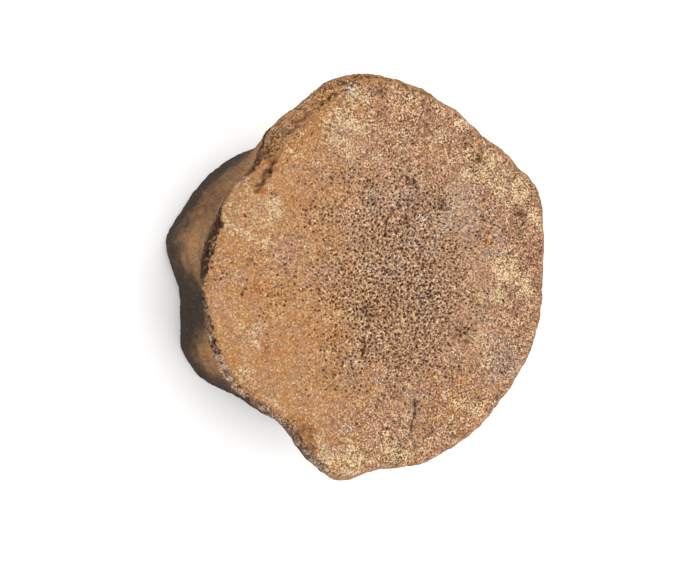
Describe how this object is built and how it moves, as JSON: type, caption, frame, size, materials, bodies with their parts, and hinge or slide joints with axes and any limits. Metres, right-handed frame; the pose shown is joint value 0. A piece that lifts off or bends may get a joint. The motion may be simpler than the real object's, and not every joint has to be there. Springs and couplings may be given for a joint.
{
  "type": "fossil dinosaur tail vertebra",
  "caption": "Fossil centrum of a large plant-eating dinosaur's mid-tail vertebra: a pinched spool of brown bone with worn, porous end faces, standing on one end.",
  "frame": {"origin": "on the floor under the middle of the bone's box, at the plane of the far end face's worn flats", "axes": "+Z along the tail, from the far end face on the floor to the near end face; the way up the animal's back is 8.5 degrees from +Y towards -X"},
  "size_m": [0.0743, 0.0815, 0.0553],
  "materials": {
    "fossil_bone": "matt, porous, mineral-stained brown bone"
  },
  "bodies": {
    "root": {"centrum": "fossil_bone"}
  },
  "joints": []
}
